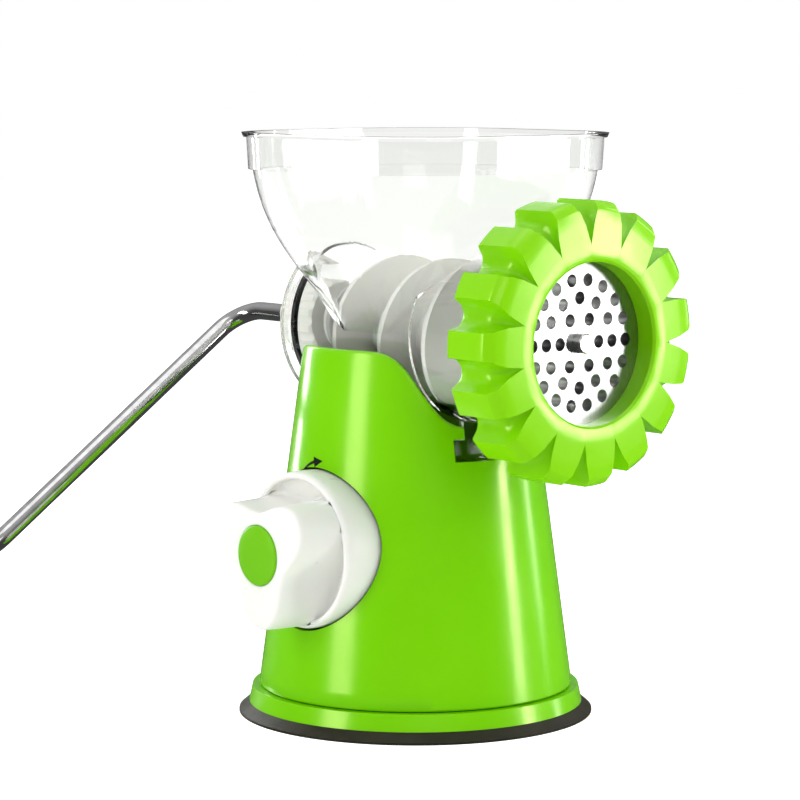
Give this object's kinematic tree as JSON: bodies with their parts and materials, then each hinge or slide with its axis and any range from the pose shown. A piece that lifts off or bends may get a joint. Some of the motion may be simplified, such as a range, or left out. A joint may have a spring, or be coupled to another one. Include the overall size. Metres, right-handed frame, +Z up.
{
  "type": "hand crank meat grinder",
  "caption": "Hand crank meat grinder: clear hopper and barrel on a tapered suction base, screw feed, perforated plate, toothed ring nut and bent steel crank.",
  "frame": {"origin": "middle of the foot's underside, on the table", "axes": "+Z up; the outlet and ring nut look along -Y; the suction knob looks along -X; the crank is at the rear, +Y"},
  "size_m": [0.2014, 0.2875, 0.2122],
  "materials": {
    "green_plastic": "gloss",
    "green_band_plastic": "gloss",
    "green_nut_plastic": "gloss",
    "green_cap_plastic": "gloss",
    "white_plastic": "gloss",
    "inner_plastic": "satin",
    "clear_plastic": "clear gloss",
    "foot_rubber": "matte",
    "seal_rubber": "matte",
    "screw_steel": "plated",
    "spring_steel": "satin",
    "shaft_steel": "turned",
    "blade_steel": "ground",
    "rod_steel": "polished"
  },
  "bodies": {
    "housing": {"base_tower": "green_plastic", "base_band": "green_band_plastic", "base_floor": "inner_plastic", "floor_screws": "screw_steel", "suction_cup": "foot_rubber", "stem_spring": "spring_steel", "cam_bracket": "inner_plastic", "bracket_screws": "screw_steel", "shaft_bush": "inner_plastic", "grinder_housing": "clear_plastic", "rear_bush": "white_plastic", "seal_washer": "seal_rubber"},
    "stem": {"suction_stem": "screw_steel", "pressure_plate": "screw_steel", "stem_nut": "screw_steel"},
    "knob": {"suction_knob": "white_plastic", "knob_cap": "green_cap_plastic", "knob_screw": "screw_steel", "cam_shaft": "screw_steel", "shaft_clip": "spring_steel"},
    "crank": {"auger_shaft": "shaft_steel", "auger": "white_plastic", "cross_blade": "blade_steel", "crank_hub": "white_plastic", "hub_screw": "screw_steel", "crank_rod": "rod_steel", "grip_retainer": "spring_steel"},
    "grip": {"crank_grip": "white_plastic", "grip_cap": "white_plastic"},
    "plate": {"hole_plate": "blade_steel"},
    "nut": {"ring_nut": "green_nut_plastic"}
  },
  "joints": [
    {"name": "crank_spin", "type": "hinge", "parent": "housing", "child": "crank", "pos_m": [0, 0, 0.1414], "axis": [0, -1, 0], "continuous": true},
    {"name": "grip_spin", "type": "hinge", "parent": "crank", "child": "grip", "pos_m": [-0.12287, 0.15, 0.05536], "axis": [0, -1, 0], "continuous": true},
    {"name": "plate_slide", "type": "slide", "parent": "housing", "child": "plate", "axis": [0, -1, 0], "range_m": [0, 0.0061]},
    {"name": "ring_nut_turn", "type": "hinge", "parent": "plate", "child": "nut", "pos_m": [0, 0, 0.1414], "axis": [0, -1, 0], "range_deg": [0, 540]},
    {"name": "knob_turn", "type": "hinge", "parent": "housing", "child": "knob", "pos_m": [0, 0, 0.0645], "axis": [1, 0, 0], "range_deg": [0, 90]},
    {"name": "stem_lift", "type": "slide", "parent": "housing", "child": "stem", "axis": [0, 0, 1], "range_m": [0, 0.0041], "deforming": ["stem_spring"]}
  ],
  "couplings": [
    {"joint": "plate_slide", "follows": "ring_nut_turn", "m_per_rad": 0.00063662},
    {"joint": "stem_lift", "follows": "knob_turn", "m_per_rad": 0.0025465}
  ]
}
